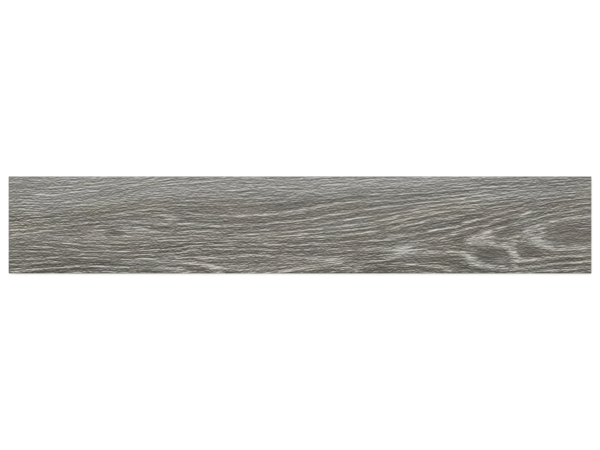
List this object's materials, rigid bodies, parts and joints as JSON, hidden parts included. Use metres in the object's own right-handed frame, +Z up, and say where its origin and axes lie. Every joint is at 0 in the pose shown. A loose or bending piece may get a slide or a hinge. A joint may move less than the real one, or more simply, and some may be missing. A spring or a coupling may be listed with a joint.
{
  "type": "wood look porcelain plank tile",
  "caption": "Long flat rectangular porcelain plank with a wood grain face, bevelled ground edges and a ribbed back that keys into mortar.",
  "frame": {"origin": "middle of the plane on which the ribs of the back rest", "axes": "+X along the plank, +Y across it, +Z up through the thickness towards the wood face"},
  "size_m": [1.2, 0.2, 0.0095],
  "materials": {
    "porcelain": "matte glaze printed as weathered grey oak, unglazed grey body on edges and back"
  },
  "bodies": {
    "root": {"plank_tile": "porcelain"}
  },
  "joints": []
}
